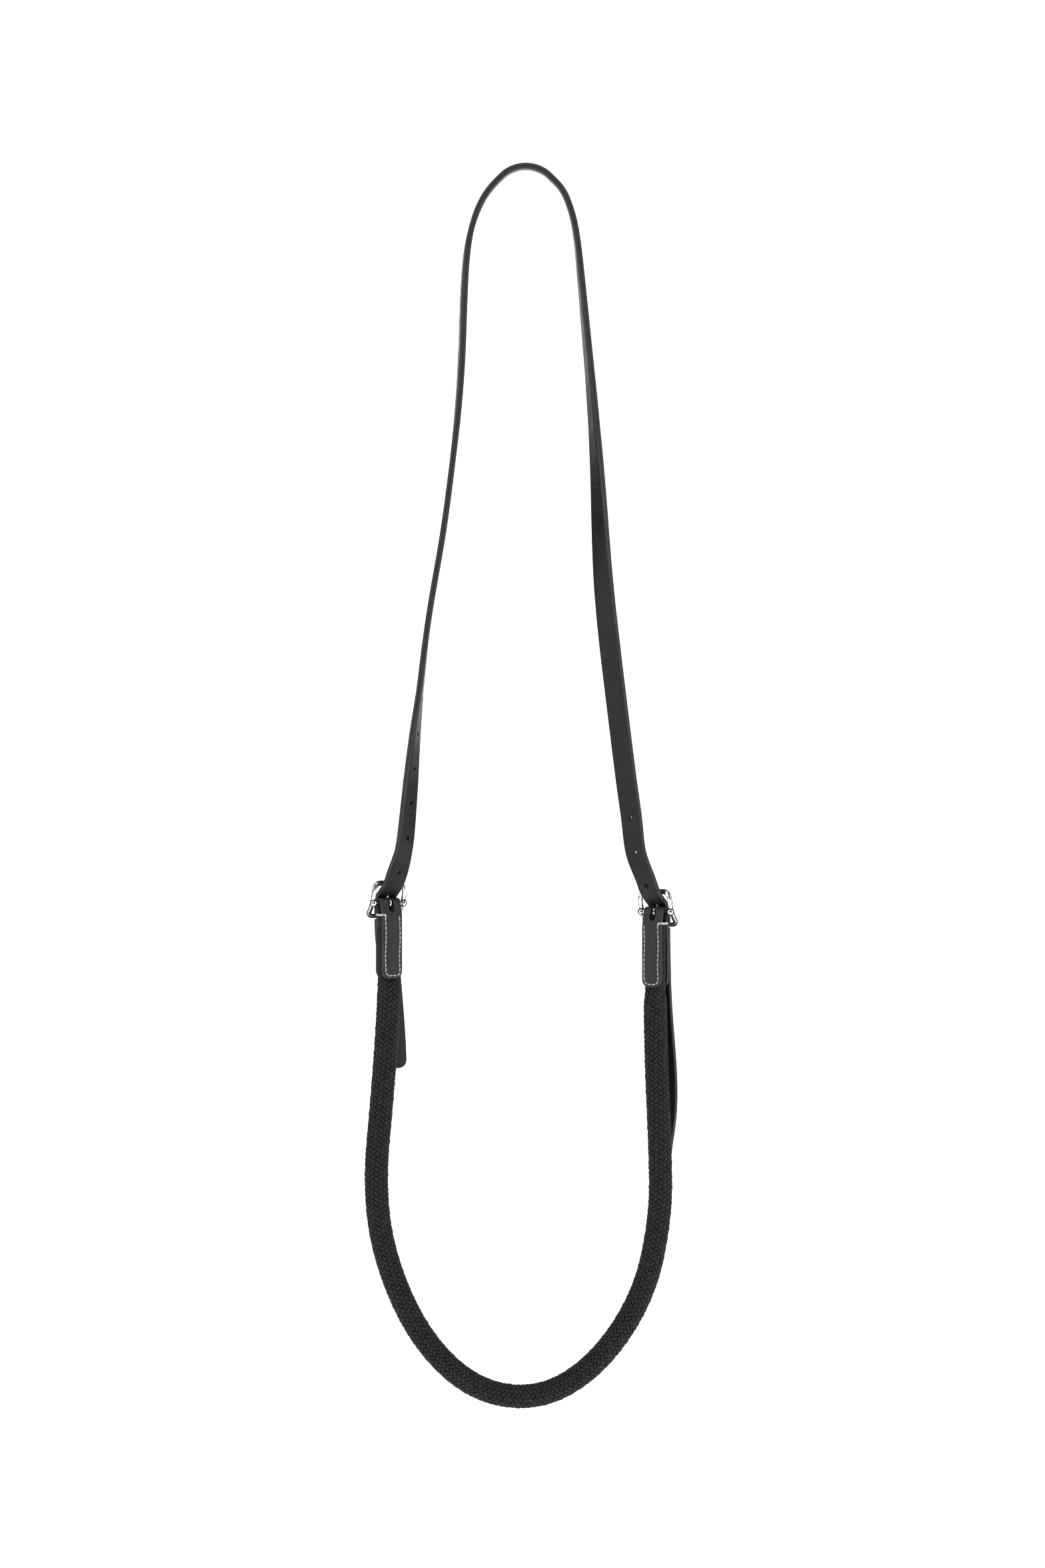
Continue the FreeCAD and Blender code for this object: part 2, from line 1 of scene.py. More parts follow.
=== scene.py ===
"""A horse's neck rein: a leather strap buckled at both ends to a thick braided rope.

It hangs by the strap's bend. Points and sizes are in millimetres until new_mesh turns them into metres.
"""
import math
import random

import bpy
import numpy as np
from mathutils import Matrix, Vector


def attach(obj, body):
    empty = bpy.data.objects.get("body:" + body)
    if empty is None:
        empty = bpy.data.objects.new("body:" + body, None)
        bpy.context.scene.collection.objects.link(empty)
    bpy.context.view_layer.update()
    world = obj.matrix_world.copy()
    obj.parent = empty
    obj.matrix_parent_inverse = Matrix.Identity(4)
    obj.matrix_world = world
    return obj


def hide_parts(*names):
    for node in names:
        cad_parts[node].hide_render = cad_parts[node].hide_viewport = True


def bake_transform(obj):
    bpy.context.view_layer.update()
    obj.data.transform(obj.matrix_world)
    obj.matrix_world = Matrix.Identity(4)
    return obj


MM = 0.001
SMOOTH_ANGLE = 40
rng = random.Random(7)

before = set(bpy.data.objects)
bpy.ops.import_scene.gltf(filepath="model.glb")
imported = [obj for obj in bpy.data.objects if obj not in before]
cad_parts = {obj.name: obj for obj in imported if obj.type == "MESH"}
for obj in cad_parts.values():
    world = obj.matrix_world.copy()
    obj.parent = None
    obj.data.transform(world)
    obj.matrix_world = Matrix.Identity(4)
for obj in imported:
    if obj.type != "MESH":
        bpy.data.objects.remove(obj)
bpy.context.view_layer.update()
scene = bpy.context.scene

# ---------------------------------------------------------------- camera

CAMERA_X = -2.4 * MM
CAMERA_Z = -424.3 * MM
CAMERA_DISTANCE = 4.5
VIEW_HEIGHT = 1.1417
SENSOR_HEIGHT = 24.0

camera_data = bpy.data.cameras.new("camera")
camera_data.sensor_fit = "VERTICAL"
camera_data.sensor_height = SENSOR_HEIGHT
camera_data.lens = SENSOR_HEIGHT * CAMERA_DISTANCE / VIEW_HEIGHT
camera_data.dof.use_dof = False
camera = bpy.data.objects.new("camera", camera_data)
scene.collection.objects.link(camera)
camera.location = (CAMERA_X, -CAMERA_DISTANCE, CAMERA_Z)
camera.rotation_euler = (math.radians(90), 0, 0)
scene.camera = camera

# ---------------------------------------------------------------- the object's own numbers, in millimetres

STRAP_WIDTH = 16.0
STRAP_THICKNESS = 4.5
STRAP_END_THICKNESS = 3.8
CROWN_MIDDLE_RADIUS = 25.3
CROWN_HALF_ANGLE = 48.0
HOLE_DIAMETER = 2.8
HOLE_PITCH = 25.4
TIP_CORNER = 6.2
LEAN_START_Z = 8.0
SPLIT_Y = 6.6
SPLIT_Z = -11.0
HOLE_REACH = 5.0
TONGUE_HOLE_MIDDLE = (0.0, 2.3, 6.5)
TONGUE_HOLE_RADIUS = 1.55
TONGUE_HOLE_LONG = 1.1
TONGUE_HOLE_REACH = 6.5
RIBBON_STEP = 1.3
STRAP_WAVINESS = 0.05

CHAPE_WIDTH = 16.0
CHAPE_THICKNESS = 2.4
CHAPE_LENGTH = 55.0
CHAPE_CORNER = 5.8
CHAPE_PILLOW = 0.4
CHAPE_FOLD_RADIUS = 2.72
CHAPE_STEP = 0.8
CHAPE_SLOT_MIDDLE = (0.0, -2.0, -2.0)
CHAPE_SLOT_RADIUS = 2.2
CHAPE_SLOT_LONG = 4.6
CHAPE_SLOT_REACH = 9.0
NEAR_FACE = -6.6
FAR_FACE = 5.6

THREAD = 0.8
STITCH_PITCH = 3.4
STITCH_LENGTH = 2.6
SEAM_INSET = 2.3
SEAM_TOP = -9.5
SEAM_LENGTH = 46.0
SEAM_DEPTH = 0.34
FAR_SEAM_TOP = -24.0

ROPE_END_TOP = -8.0
ROPE_END_Y = -1.1
ROPE_SEWN_Y = -0.5
ROPE_SEWN_Z = -38.0
ROPE_TUBE_TOP = -70.0
ROPE_TUBE_Y = -0.7
ROPE_STEP = 1.44
STRANDS_EACH_WAY = 16
BRAID_PITCH = 57.6
STRAND_HALF_W = 1.22
STRAND_HALF_T = 0.72
STRAND_COVER = 0.32
STRAND_SIDES = 6
WEAVE_DROP = 1.0
CORE_SIDES = 28
CORE_INSET = 1.55
STRAY_FIBRES = 420
FIBRE_RADIUS = 0.11

# A leg station is x, y, z, turn: the strap's middle, and how far its inner face has turned towards -Y,
# in degrees. A tail station is x, y, z in the buckle's frame. The lean is how far the strap goes aside
# for each millimetre of height in the buckle.
SIDES = {
    "left": {
        "sign": -1,
        "bar": (-100.0, 6.3, -511.2),
        "yaw": 28.0,
        "lean": 0.13,
        "legs": [(-27.0, 0.0, 8.0, 0.0), (-32.5, 0.0, -0.8, 0.0), (-36.9, 0.0, -11.0, -1.0),
                 (-40.1, 0.0, -22.0, -2.0), (-42.5, 0.0, -35.0, -4.0), (-44.2, 0.0, -52.0, -5.5),
                 (-45.3, 0.0, -75.0, -6.0), (-46.8, 0.0, -115.0, -6.0), (-50.3, 0.2, -162.0, -3.0),
                 (-55.0, 0.5, -203.0, 0.0), (-60.8, 0.9, -245.0, 0.0), (-67.4, 1.3, -283.0, 0.0),
                 (-72.9, 1.5, -319.0, 0.0), (-77.1, 1.5, -356.0, 4.0), (-80.9, 1.1, -390.0, 17.0),
                 (-83.8, -1.0, -423.0, 29.0), (-86.6, -4.4, -455.0, 37.0), (-89.2, -4.6, -474.0, 44.0)],
        "tail": [(0.0, 6.6, -11.0), (0.5, 7.2, -16.5), (1.4, 8.2, -24.0), (3.4, 8.8, -36.0),
                 (6.4, 9.6, -55.0), (8.0, 10.2, -69.0), (9.4, 10.5, -83.0), (10.5, 10.6, -96.0),
                 (11.2, 10.5, -109.0), (11.6, 10.4, -121.0)],
        "holes_above": 6,
        "first_hole": 18.5,
        "holes_below": 3,
    },
    "right": {
        "sign": 1,
        "bar": (94.7, 6.3, -517.5),
        "yaw": -31.0,
        "lean": -0.13,
        "legs": [(26.6, 0.0, 8.2, 0.0), (31.4, 0.0, -2.0, 0.5), (34.9, 0.0, -14.0, 1.5),
                 (37.3, 0.0, -28.0, 3.0), (39.4, 0.0, -47.0, 5.0), (41.3, 0.0, -67.0, 6.5),
                 (43.4, 0.0, -90.0, 8.5), (46.6, 0.0, -125.0, 12.0), (49.8, 0.2, -164.0, 18.0),
                 (52.4, 0.5, -203.0, 28.0), (54.4, 0.9, -242.0, 40.0), (56.9, 1.3, -281.0, 52.0),
                 (60.7, 1.5, -319.0, 59.0), (65.2, 1.5, -357.0, 60.0), (70.1, 0.9, -397.0, 60.0),
                 (74.6, -1.7, -432.0, 60.0), (77.6, -4.4, -455.0, 60.0), (80.6, -4.9, -476.0, 60.0)],
        "tail": [(0.0, 6.6, -11.0), (-0.4, 7.2, -16.5), (-0.8, 8.2, -24.0), (-0.9, 8.8, -36.0),
                 (-0.8, 9.6, -55.0), (0.2, 10.4, -78.0), (2.2, 10.8, -103.0), (3.4, 11.2, -127.0),
                 (2.3, 11.3, -152.0), (-1.0, 11.0, -174.0), (-3.0, 10.8, -194.5)],
        "holes_above": 3,
        "first_hole": 15.0,
        "holes_below": 6,
    },
}

# The strap's middle line through the buckle, as y, z in the buckle's frame
THROUGH = [(-10.6, 22.9), (-7.8, 17.0), (-4.5, 12.2), (-0.2, 8.4), (4.3, 4.7), (5.8, 2.5), (6.4, 0.0),
           (6.45, -5.0)]
USED_HOLE = 3  # which of those points the tongue goes through

# The rope's route, corner by corner, between the tube's two ends
ROPE_ROUTE = [
    (-104.2, 0.6, -648.5),
    (-110.5, -5.6, -717.0),
    (-102.0, -10.8, -772.0),
    (-76.0, -14.9, -828.0),
    (-37.0, -17.5, -864.5),
    (10.0, -18.0, -871.0),
    (52.0, -16.7, -846.0),
    (86.0, -13.2, -796.0),
    (98.4, -8.5, -737.0),
    (97.6, -3.8, -686.0),
    (95.2, 0.8, -634.0),
]


# ---------------------------------------------------------------- small tools

def unit(v):
    return v / np.maximum(np.linalg.norm(v, axis=-1, keepdims=True), 1e-12)


def from_buckle(side, x, y, z):
    yaw = math.radians(side["yaw"])
    bar = side["bar"]
    return np.array((bar[0] + x * math.cos(yaw) - y * math.sin(yaw),
                     bar[1] + x * math.sin(yaw) + y * math.cos(yaw), bar[2] + z))


def bar_direction(side):
    yaw = math.radians(side["yaw"])
    return np.array((math.cos(yaw), math.sin(yaw), 0.0))


class Spline:
    """A smooth line through points, by the distance between them."""

    def __init__(self, points):
        p = np.array(points, float)
        gap = np.linalg.norm(np.diff(p, axis=0), axis=1)
        count = len(p)
        rows = np.zeros((count, count))
        right = np.zeros_like(p)
        rows[0, 0] = rows[-1, -1] = 1.0
        for i in range(1, count - 1):
            rows[i, i - 1:i + 2] = gap[i - 1], 2 * (gap[i - 1] + gap[i]), gap[i]
            right[i] = 6 * ((p[i + 1] - p[i]) / gap[i] - (p[i] - p[i - 1]) / gap[i - 1])
        self.p, self.gap, self.m = p, gap, np.linalg.solve(rows, right)
        self.u = np.concatenate([[0.0], np.cumsum(gap)])

    def at(self, u):
        u = np.clip(np.asarray(u, float), 0, self.u[-1])
        i = np.clip(np.searchsorted(self.u, u, side="right") - 1, 0, len(self.gap) - 1)
        h = self.gap[i][:, None]
        a = (self.u[i + 1] - u)[:, None] / h
        b = 1 - a
        return (a * self.p[i] + b * self.p[i + 1]
                + ((a ** 3 - a) * self.m[i] + (b ** 3 - b) * self.m[i + 1]) * h * h / 6)


def new_mesh(name, verts, faces, attributes=None, smooth_angle=SMOOTH_ANGLE):
    """A mesh object from millimetres. attributes is {name: values at each point}."""
    mesh = bpy.data.meshes.new(name)
    mesh.from_pydata((np.asarray(verts, float) * MM).tolist(), [], faces)
    for key, values in (attributes or {}).items():
        values = np.asarray(values, np.float32)
        if values.ndim == 2:
            mesh.attributes.new(key, "FLOAT_VECTOR", "POINT").data.foreach_set("vector", values.ravel())
        else:
            mesh.attributes.new(key, "FLOAT", "POINT").data.foreach_set("value", values)
    mesh.shade_smooth()
    mesh.set_sharp_from_angle(angle=math.radians(smooth_angle))
    mesh.update()
    obj = bpy.data.objects.new(name, mesh)
    scene.collection.objects.link(obj)
    return obj


def cover(obj, material):
    """Give obj this material and no other."""
    obj.data.materials.clear()
    obj.data.materials.append(material)


def grid_faces(rows, columns, first=0):
    """Quads round a tube of rows rings of columns points, and a cap at each end."""
    faces = []
    for r in range(rows - 1):
        low, high = first + r * columns, first + (r + 1) * columns
        for c in range(columns):
            d = (c + 1) % columns
            faces.append((low + c, low + d, high + d, high + c))
    faces.append(tuple(first + c for c in reversed(range(columns))))
    faces.append(tuple(first + (rows - 1) * columns + c for c in range(columns)))
    return faces


def cut(obj, cutters):
    """Take the cutters out of obj."""
    for number, cutter in enumerate(cutters):
        modifier = obj.modifiers.new(f"cut{number}", "BOOLEAN")
        modifier.operation = "DIFFERENCE"
        modifier.solver = "EXACT"
        modifier.object = cutter
    bpy.context.view_layer.update()
    evaluated = obj.evaluated_get(bpy.context.evaluated_depsgraph_get())
    mesh = bpy.data.meshes.new_from_object(evaluated)
    obj.modifiers.clear()
    old, obj.data = obj.data, mesh
    bpy.data.meshes.remove(old)
    mesh.name = obj.name
    mesh.set_sharp_from_angle(angle=math.radians(SMOOTH_ANGLE))
    for cutter in cutters:
        bpy.data.objects.remove(cutter)


# ---------------------------------------------------------------- materials

class Graph:
    """A material's nodes."""

    def __init__(self, name):
        self.material = bpy.data.materials.new(name)
        self.material.use_nodes = True
        self.nodes = self.material.node_tree.nodes
        self.links = self.material.node_tree.links
        self.shader = self.nodes["Principled BSDF"]

    def put(self, socket, value):
        if hasattr(value, "is_output"):
            self.links.new(value, socket)
        else:
            socket.default_value = value

    def node(self, kind, output=0, inputs=None, **settings):
        made = self.nodes.new("ShaderNode" + kind)
        for key, value in settings.items():
            setattr(made, key, value)
        for key, value in (inputs or {}).items():
            self.put(made.inputs[key], value)
        return made.outputs[output]

    def attribute(self, name, output="Vector"):
        return self.node("Attribute", output, attribute_name=name)

    def stretched(self, vector, scale):
        return self.node("VectorMath", 0, {0: vector, 1: scale}, operation="MULTIPLY")

    def noise(self, vector, scale, detail=4.0, roughness=0.55):
        inputs = {"Vector": vector, "Scale": scale, "Detail": detail, "Roughness": roughness}
        return self.node("TexNoise", 0, inputs)

    def ramp(self, value, low, high, to_low=0.0, to_high=1.0):
        inputs = {"Value": value, "From Min": low, "From Max": high, "To Min": to_low, "To Max": to_high}
        return self.node("MapRange", 0, inputs)

    def mix(self, factor, a, b):
        made = self.nodes.new("ShaderNodeMix")
        made.data_type = "RGBA"
        self.put(made.inputs[0], factor)
        self.put(made.inputs[6], a)
        self.put(made.inputs[7], b)
        return made.outputs[2]

    def math(self, operation, a, b=0.0):
        return self.node("Math", 0, {0: a, 1: b}, operation=operation)

    def bump(self, height, distance, strength=1.0, normal=None):
        inputs = {"Height": height, "Distance": distance, "Strength": strength}
        if normal is not None:
            inputs["Normal"] = normal
        return self.node("Bump", 0, inputs)

    def set(self, **inputs):
        for key, value in inputs.items():
            self.put(self.shader.inputs[key.replace("_", " ")], value)
        return self.material


def grey(value, warm=0.0):
    return (value * (1 + warm), value, value * (1 - warm * 0.5), 1.0)


def leather(name, face, face_high, edge, roughness):
    """Finished leather: fine grain, cross creases, patchy colour, and painted edges coloured lighter in
    patches as a painted highlight.
    """
    g = Graph(name)
    at = g.attribute("rib")
    edge_highlight = g.attribute("edge", "Fac")
    patches = g.ramp(g.noise(at, 0.045, 5.0), 0.35, 0.68)
    base = g.mix(patches, face, face_high)
    fine = g.noise(at, 1.9, 6.0, 0.65)
    pores = g.node("TexVoronoi", 0, {"Vector": at, "Scale": 1.35})
    creases = g.noise(g.stretched(at, (0.62, 0.10, 0.30)), 1.0, 5.0, 0.6)
    # Painted highlight: the edges are coloured lighter, in random patches.
    edge_patch = g.ramp(g.noise(at, 0.35, 4.0), 0.3, 0.7, 0.72, 1.0)
    colour = g.mix(g.math("MULTIPLY", edge_highlight, edge_patch), base, edge)
    rough = g.ramp(g.math("ADD", fine, patches), 0.4, 1.6, roughness - 0.08, roughness + 0.12)
    normal = g.bump(pores, 0.00010, 0.6)
    normal = g.bump(fine, 0.00014, 0.65, normal)
    normal = g.bump(creases, 0.0010, 0.6, normal)
    return g.set(Base_Color=colour, Roughness=rough, Normal=normal, Specular_IOR_Level=0.3)


def metal(name):
    """Polished casting: bright where it faces the viewer, with a painted dark reflection where it turns
    away.
    """
    g = Graph(name)
    at = g.node("TexCoord", "Object")
    smear = g.noise(at, 160.0, 4.0)
    scratches = g.noise(g.stretched(at, (900.0, 900.0, 5200.0)), 1.0, 2.0)
    colour = g.mix(g.ramp(smear, 0.3, 0.7), (0.62, 0.62, 0.64, 1), (0.80, 0.80, 0.82, 1))
    # Painted dark reflection: the colour goes nearly black where the surface turns away from the viewer.
    painted_dark_reflection = g.ramp(g.node("LayerWeight", "Facing", {"Blend": 0.5}), 0.12, 0.55)
    colour = g.mix(painted_dark_reflection, colour, (0.035, 0.033, 0.045, 1))
    rough = g.ramp(g.math("ADD", smear, scratches), 0.6, 1.4, 0.07, 0.2)
    normal = g.bump(scratches, 0.00001, 0.35)
    tint = (0.2, 0.2, 0.22, 1)
    return g.set(Base_Color=colour, Metallic=1.0, Roughness=rough, Normal=normal, Specular_Tint=tint)


def thread_material(name):
    """White twisted thread, a little soiled, with painted shade in the twist."""
    g = Graph(name)
    at = g.attribute("run")
    twist = g.node("TexWave", 0, {"Vector": at, "Scale": 1.1, "Distortion": 0.6, "Detail": 1.0},
                   bands_direction="DIAGONAL")
    soil = g.noise(at, 0.3, 3.0)
    colour = g.mix(g.ramp(soil, 0.35, 0.7), (0.86, 0.84, 0.80, 1), (0.62, 0.60, 0.56, 1))
    # Painted shade: the twist's grooves are coloured dark.
    colour = g.mix(g.ramp(twist, 0.0, 0.35, 0.45, 0.0), colour, (0.2, 0.19, 0.18, 1))
    rough = g.ramp(soil, 0.3, 0.7, 0.6, 0.85)
    return g.set(Base_Color=colour, Roughness=rough, Normal=g.bump(twist, 0.00008, 0.7))


def rope_material(name):
    """Matt black yarn: fibres lie along each strand and catch a little light. Painted shade darkens the low
    parts of the weave and the core.
    """
    g = Graph(name)
    at = g.attribute("strand")
    fibres = g.noise(g.stretched(at, (0.35, 3.2, 1.0)), 1.0, 4.0, 0.7)
    patches = g.noise(g.stretched(at, (0.03, 0.0, 1.0)), 1.0, 3.0)
    colour = g.mix(g.ramp(patches, 0.35, 0.65), grey(0.0075), grey(0.014))
    colour = g.mix(g.ramp(fibres, 0.55, 0.8), colour, grey(0.045))
    # Painted shade: low in the weave, in its gaps and on the core, the yarn is coloured almost black.
    crest_light = g.attribute("crest_light", "Fac")
    colour = g.mix(g.ramp(crest_light, 0.2, 0.85), grey(0.0006), colour)
    rough = g.ramp(fibres, 0.3, 0.8, 0.62, 0.86)
    shine = g.ramp(crest_light, 0.2, 0.9, 0.02, 0.45)
    normal = g.bump(fibres, 0.00022, 0.8)
    return g.set(Base_Color=colour, Roughness=rough, Normal=normal, Specular_IOR_Level=shine)


# The edge colours below are a painted highlight on the leather's edges.
strap_material = leather("strap_leather", face=grey(0.0030, 0.05), face_high=grey(0.0070, 0.05),
                         edge=grey(0.050, 0.06), roughness=0.44)
chape_material = leather("chape_leather", face=(0.017, 0.0155, 0.019, 1), face_high=(0.030, 0.027, 0.032, 1),
                         edge=grey(0.045, 0.06), roughness=0.5)
metal_material = metal("buckle_metal")
white_thread = thread_material("thread")
black_yarn = rope_material("rope_fibre")


# ---------------------------------------------------------------- ribbons of leather

def leather_profile(half_w, half_t, seam, count=22):
    """A strip's section, as across, through and how far the point is on the edge, 0 to 1; that last sets the
    painted edge highlight.

    The faces are slightly crowned, with a crease near each edge and rounded corners. The edge has two
    layers with a fine line between them."""
    corner = min(0.9, half_t * 0.5)
    face = np.linspace(-half_w + corner, half_w - corner, count)
    crown = half_t * (0.985 + 0.015 * (1 - (face / half_w) ** 2))
    crease = 0.09 * half_t * np.exp(-((np.abs(face) - (half_w - 1.6)) / 0.38) ** 2)
    upper = [(a, b, 0.0) for a, b in zip(face, crown - crease)]
    turn = [(half_w - corner * (1 - math.sin(t)), half_t - corner * (1 - math.cos(t)),
             0.35 + 0.65 * t / 1.57) for t in (0.55, 1.1, 1.57)]
    side = [(half_w, half_t * 0.35, 1.0), (half_w, 0.28, 0.8), (half_w - seam, 0.0, 0.15),
            (half_w, -0.28, 0.8), (half_w, -half_t * 0.35, 1.0)]
    right = turn + side + [(a, -b, e) for a, b, e in reversed(turn)]
    lower = [(a, -b, e) for a, b, e in reversed(upper)]
    left = [(-a, -b, e) for a, b, e in right]
    return np.array(upper + right + lower + left)


TIP_STOPS = (0.03, 0.12, 0.3, 0.6, 1.0, 1.6, 2.4, 3.3, 4.4, 5.6, 7.0, 8.3)  # closer rings near a round tip


def tip_width(distance, corner, half_w):
    """A strip's share of its full width, at a distance from a tip with two round corners."""
    d = np.clip(distance, 0.02, corner)
    return (half_w - corner + np.sqrt(corner ** 2 - (corner - d) ** 2)) / half_w


def ribbon(name, points, widths, half_w, half_t, step, seam=0.3, tips=(None, None), dent=None,
           waviness=0.0, thickness=None):
    """A strip swept along a smooth line through points, and that line.

    widths is the strip's width direction at each point, and thickness the share of half_t there. tips
    are the corner radii of its ends, or None where it is cut square."""
    line = Spline(points)
    length = line.u[-1]
    stops = set(np.linspace(0, length, int(length / step) + 1).tolist())
    for end, radius in enumerate(tips):
        if radius:
            for d in TIP_STOPS:
                stops.add(d if end == 0 else length - d)
    u = np.array(sorted(stops))
    middle = line.at(u)
    tangent = unit(line.at(u + 0.2) - line.at(u - 0.2))
    width = np.stack([np.interp(u, line.u, np.array(widths, float)[:, i]) for i in range(3)], axis=1)
    across = unit(width - tangent * np.sum(width * tangent, axis=1, keepdims=True))
    through = np.cross(across, tangent)
    profile = leather_profile(half_w, half_t, seam)
    share = np.ones(len(u))
    thin = np.ones(len(u))
    for end, radius in enumerate(tips):
        if radius:
            d = u if end == 0 else length - u
            share = np.minimum(share, tip_width(d, radius, half_w))
            thin = np.minimum(thin, 0.55 + 0.45 * np.clip(d / 1.4, 0, 1) ** 0.5)
    a = profile[None, :, 0] * share[:, None]
    if thickness is not None:
        thin = thin * np.interp(u, line.u, thickness)
    b = profile[None, :, 1] * thin[:, None]
    if waviness:
        wave = np.sin(u / 23.0 + 1.0) * 0.5 + np.sin(u / 9.1) * 0.3 + np.sin(u / 41.0 + 2.2) * 0.6
        b = b + waviness * wave[:, None] * np.sin(a / half_w * 1.3 + u[:, None] / 60.0)
    if dent is not None:
        b = b - np.sign(b) * dent(u[:, None], a, b, length)
    verts = middle[:, None] + across[:, None] * a[..., None] + through[:, None] * b[..., None]
    rib = np.stack([np.broadcast_to(u[:, None], a.shape), a, b], axis=-1)
    # edge sets the painted highlight on the strip's edges, and it grows round the thinned tips.
    edge = np.broadcast_to(profile[None, :, 2], a.shape).copy()
    if tips[0] or tips[1]:
        edge = np.maximum(edge, np.clip(3.2 - 4 * thin, 0, 1)[:, None])
    rows, columns = a.shape
    obj = new_mesh(name, verts.reshape(-1, 3), grid_faces(rows, columns),
                   {"rib": rib.reshape(-1, 3), "edge": edge.ravel()})
    return obj, line


# ---------------------------------------------------------------- strap

def leg_width(side, turn):
    """The strap's width direction, the same way round on both sides of the crown."""
    angle = math.radians(turn)
    return (-side["sign"] * math.sin(angle), math.cos(angle), 0.0)


def leaning(side, y, z):
    """A point of the strap's middle line in the buckle. Over LEAN_START_Z it goes aside."""
    return from_buckle(side, side["lean"] * max(z - LEAN_START_Z, 0.0), y, z)


def used_hole(side):
    """Where the tongue goes through the strap."""
    return leaning(side, *THROUGH[USED_HOLE])


def through_buckle(side):
    """The middle of the strap past the buckle's bars, down to where the tail starts."""
    return [leaning(side, y, z) for y, z in THROUGH] + [from_buckle(side, 0.0, SPLIT_Y, SPLIT_Z)]


def strap_stations():
    """The strap from the left split, over the crown, to the right split.

    Each station is a point of the middle line, the width direction and the share of the thickness."""
    parts = {}
    for name, side in SIDES.items():
        across = -side["sign"] * bar_direction(side)
        thin = STRAP_END_THICKNESS / STRAP_THICKNESS
        legs = [(np.array((x, y, z)), leg_width(side, turn), 1.0) for x, y, z, turn in side["legs"]]
        legs[-1] = (*legs[-1][:2], thin)
        parts[name] = legs + [(point, across, thin) for point in through_buckle(side)]
    arc = []
    for degrees in np.linspace(-CROWN_HALF_ANGLE, CROWN_HALF_ANGLE, 9):
        angle = math.radians(degrees)
        point = CROWN_MIDDLE_RADIUS * np.array((math.sin(angle), 0.0, math.cos(angle)))
        arc.append((point, (0.0, 1.0, 0.0), 1.0))
    return parts["left"][::-1] + arc + parts["right"]


def punches(line, widths, places):
    """A punch through the strap at each of these places along it."""
    made = []
    for u in places:
        here = line.at([u])[0]
        tangent = unit(line.at([u + 0.3])[0] - line.at([u - 0.3])[0])
        across = np.array(widths[np.argmin(np.linalg.norm(line.p - here, axis=1))])
        made.append(punch(here, unit(np.cross(across, tangent)), HOLE_DIAMETER / 2, HOLE_REACH))
    return made


def punch(middle, through, radius, reach, long=0.0, along=None):
    """A round cutter, or one drawn out by long along a direction."""
    aside = unit(np.cross(through, (0.0, 0.0, 1.0) if abs(through[2]) < 0.9 else (1.0, 0.0, 0.0)))
    if along is not None:
        aside = unit(along - through * np.dot(along, through))
    other = np.cross(through, aside)
    rings = []
    for end in (-1, 1):
        for number in range(24):
            angle = 2 * math.pi * number / 24
            push = math.copysign(long / 2, math.cos(angle)) if long else 0.0
            rings.append(middle + through * end * reach + aside * (radius * math.cos(angle) + push)
                         + other * radius * math.sin(angle))
    return new_mesh("punch", rings, grid_faces(2, 24))


stations = strap_stations()
widths = [width for _, width, _ in stations]
strap, strap_line = ribbon("strap", [point for point, _, _ in stations], widths, STRAP_WIDTH / 2,
                           STRAP_THICKNESS / 2, RIBBON_STEP, waviness=STRAP_WAVINESS,
                           thickness=[share for _, _, share in stations])
cutters = []
for name, side in SIDES.items():
    used = strap_line.u[np.argmin(np.linalg.norm(strap_line.p - used_hole(side), axis=1))]
    towards_crown = -side["sign"]
    places = [used + towards_crown * (side["first_hole"] + n * HOLE_PITCH)
              for n in range(side["holes_above"])]
    cutters += punches(strap_line, widths, places)
    bar_x, bar_y, _ = bar_direction(side)
    up, forward = np.array((0.0, 0.0, 1.0)), np.array((-bar_y, bar_x, 0.0))
    cutters.append(punch(from_buckle(side, *TONGUE_HOLE_MIDDLE), up, TONGUE_HOLE_RADIUS, TONGUE_HOLE_REACH,
                         TONGUE_HOLE_LONG, forward))
cut(strap, cutters)
cover(strap, strap_material)
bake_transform(strap)
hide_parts("strap_loop", "strap_end_left", "strap_end_right")

for name, side in SIDES.items():
    line_points = [from_buckle(side, *place) for place in side["tail"]]
    tail_widths = [bar_direction(side)] * len(line_points)
    tail, tail_line = ribbon("tail_" + name, line_points, tail_widths, STRAP_WIDTH / 2,
                             STRAP_END_THICKNESS / 2, RIBBON_STEP, tips=(None, TIP_CORNER),
                             waviness=STRAP_WAVINESS)
    run = Spline([used_hole(side)] + through_buckle(side)[USED_HOLE + 1:]).u[-1]
    places = [n * HOLE_PITCH - run for n in range(1, side["holes_below"] + 1)]
    cut(tail, punches(tail_line, tail_widths, [u for u in places if u > 4]))
    cover(tail, strap_material)
    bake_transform(tail)
    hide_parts("strap_tail_" + name)


# ---------------------------------------------------------------- chapes

def chape_line():
    """The middle of the folded tab, as y, z: up the near leg, over the centre bar and down the far leg."""
    near = [(-5.4, -CHAPE_LENGTH), (-5.4, -46.0), (-5.4, -36.0), (-5.4, -25.0), (-5.4, -14.0),
            (-5.3, -10.0), (-4.5, -6.0), (-3.3, -2.4)]
    fold = []
    for degrees in range(0, 181, 30):
        angle = math.radians(degrees)
        fold.append((-CHAPE_FOLD_RADIUS * math.cos(angle), CHAPE_FOLD_RADIUS * math.sin(angle)))
    far = [(2.8, -5.0), (2.95, -11.0), (3.6, -17.0), (4.4, -23.5), (4.4, -33.0), (4.4, -44.0),
           (4.4, -CHAPE_LENGTH)]
    return near + fold + far


